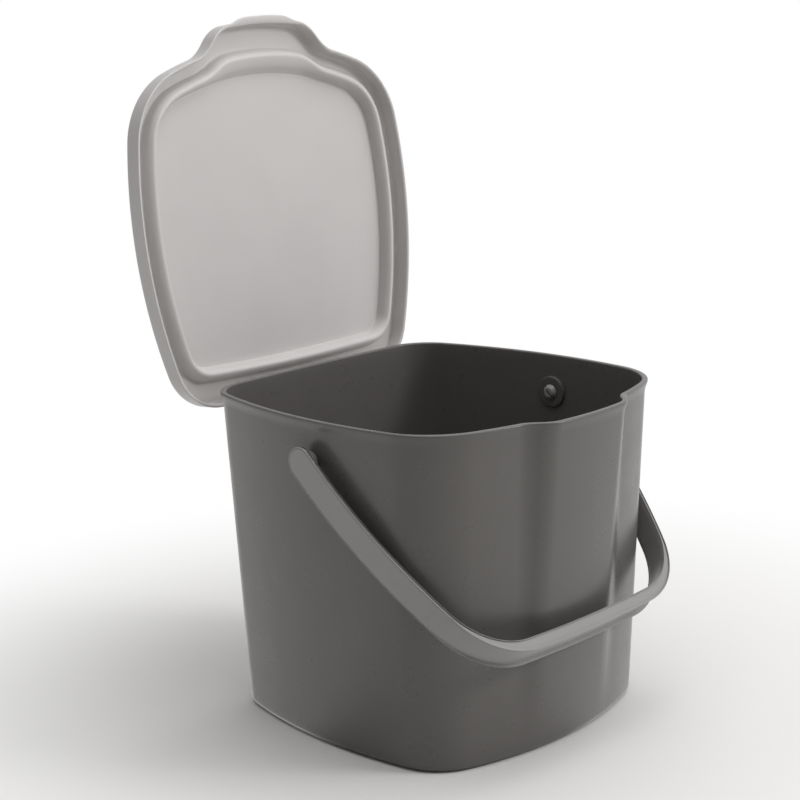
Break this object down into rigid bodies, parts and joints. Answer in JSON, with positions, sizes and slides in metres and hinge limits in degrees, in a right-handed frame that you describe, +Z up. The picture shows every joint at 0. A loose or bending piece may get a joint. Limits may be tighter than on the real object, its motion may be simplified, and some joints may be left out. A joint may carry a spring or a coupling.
{
  "type": "food waste caddy",
  "caption": "Rounded-square plastic food-waste caddy with a pour lip, a snap-hinged lid that stands open with a moulded sealing bead, and a swinging channelled bail handle.",
  "frame": {"origin": "middle of the foot ring, on the surface that the caddy stands on; in plan it is the middle of the bucket's rounded square without the pour lip", "axes": "+Z up along the bucket's height, -Y to the front with the pour lip, the lid's tab and the grip at rest, +Y to the rear with the hinge, +X to the right seen from the front"},
  "size_m": [0.2372, 0.2728, 0.4166],
  "materials": {
    "bucket_plastic": "satin dark warm grey moulded polypropylene",
    "lid_plastic": "satin light warm grey moulded polypropylene",
    "handle_plastic": "satin mid grey moulded polypropylene"
  },
  "bodies": {
    "bucket": {"bucket": "bucket_plastic"},
    "lid": {"lid": "lid_plastic"},
    "handle": {"handle": "handle_plastic"}
  },
  "joints": [
    {"name": "lid_hinge", "type": "hinge", "parent": "bucket", "child": "lid", "pos_m": [0, 0.11073, 0.181], "axis": [1, 0, 0], "range_deg": [0, 95.4]},
    {"name": "handle_swing", "type": "hinge", "parent": "bucket", "child": "handle", "pos_m": [0, 0, 0.1764], "axis": [-1, 0, 0], "range_deg": [0, 180]}
  ]
}
